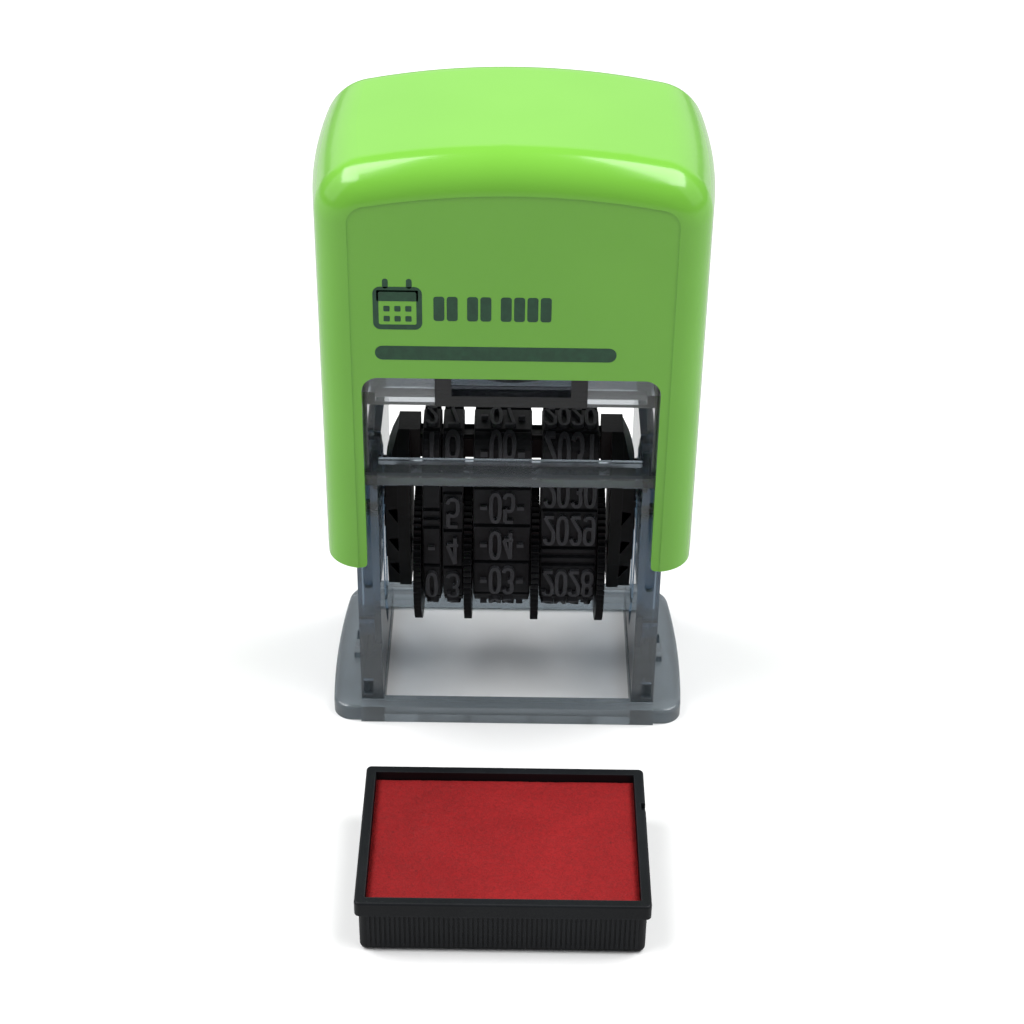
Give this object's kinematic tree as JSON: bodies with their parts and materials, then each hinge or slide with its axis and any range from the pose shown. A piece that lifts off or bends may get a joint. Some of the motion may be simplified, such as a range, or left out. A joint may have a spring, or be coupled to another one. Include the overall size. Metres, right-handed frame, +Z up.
{
  "type": "self-inking rotary date stamp",
  "caption": "Small self-inking date stamp: press-down cover, clear frame, flipping carrier with rubber date bands on thumb wheels, return spring, and a slide-in ink cartridge beside it.",
  "frame": {"origin": "middle of the printed date on the paper: the centre of the opening in the base plate, on the plane that the base stands on", "axes": "+Z up along the cover's stroke, +X along the printed line to the right, -Y towards the front, where the cartridge slot opens"},
  "size_m": [0.0434, 0.0649, 0.0745],
  "materials": {
    "green_plastic": "glossy moulded ABS, bright leaf green",
    "smoke_plastic": "smoke-grey transparent moulded plastic, polished",
    "black_plastic": "black moulded plastic, fine matte",
    "wheel_plastic": "black moulded plastic, serrated rim",
    "band_rubber": "dark grey moulded rubber, slightly dusty",
    "spring_steel": "bright drawn spring wire",
    "pin_steel": "ground steel",
    "tray_plastic": "black moulded plastic, semi-matte",
    "red_felt": "red ink-soaked felt"
  },
  "bodies": {
    "frame": {"base_plate": "smoke_plastic", "main_frame": "smoke_plastic", "return_spring": "spring_steel"},
    "cover": {"cover": "green_plastic"},
    "carrier": {"left_cheek": "black_plastic", "right_cheek": "black_plastic", "left_pivot_pin": "pin_steel", "right_pivot_pin": "pin_steel", "print_bar": "black_plastic", "tie_rod": "pin_steel", "wheel_axle": "pin_steel", "tens_band": "band_rubber", "units_band": "band_rubber", "month_band": "band_rubber", "year_band": "band_rubber"},
    "tens_wheel": {"tens_wheel": "wheel_plastic"},
    "units_wheel": {"units_wheel": "wheel_plastic"},
    "month_wheel": {"month_wheel": "wheel_plastic"},
    "year_wheel": {"year_wheel": "wheel_plastic"},
    "ink_cartridge": {"pad_tray": "tray_plastic", "felt_pad": "red_felt"}
  },
  "joints": [
    {"name": "cover_press", "type": "slide", "parent": "frame", "child": "cover", "axis": [0, 0, -1], "range_m": [0, 0.0146], "stiffness_N_per_m": 300, "springref_m": -0.01, "deforming": ["return_spring"]},
    {"name": "carrier_flip", "type": "hinge", "parent": "cover", "child": "carrier", "pos_m": [0, 0, 0.0252], "axis": [1, 0, 0], "range_deg": [0, 180]},
    {"name": "tens_wheel_turn", "type": "hinge", "parent": "carrier", "child": "tens_wheel", "pos_m": [0, 0, 0.01735], "axis": [1, 0, 0], "continuous": true},
    {"name": "units_wheel_turn", "type": "hinge", "parent": "carrier", "child": "units_wheel", "pos_m": [0, 0, 0.01735], "axis": [1, 0, 0], "continuous": true},
    {"name": "month_wheel_turn", "type": "hinge", "parent": "carrier", "child": "month_wheel", "pos_m": [0, 0, 0.01735], "axis": [1, 0, 0], "continuous": true},
    {"name": "year_wheel_turn", "type": "hinge", "parent": "carrier", "child": "year_wheel", "pos_m": [0, 0, 0.01735], "axis": [1, 0, 0], "continuous": true},
    {"name": "cartridge_slide", "type": "slide", "parent": "frame", "child": "ink_cartridge", "axis": [0, 1, 0], "range_m": [-0.03, 0.012]}
  ],
  "couplings": [
    {"joint": "carrier_flip", "follows": "cover_press", "rad_per_m": 215.17}
  ]
}
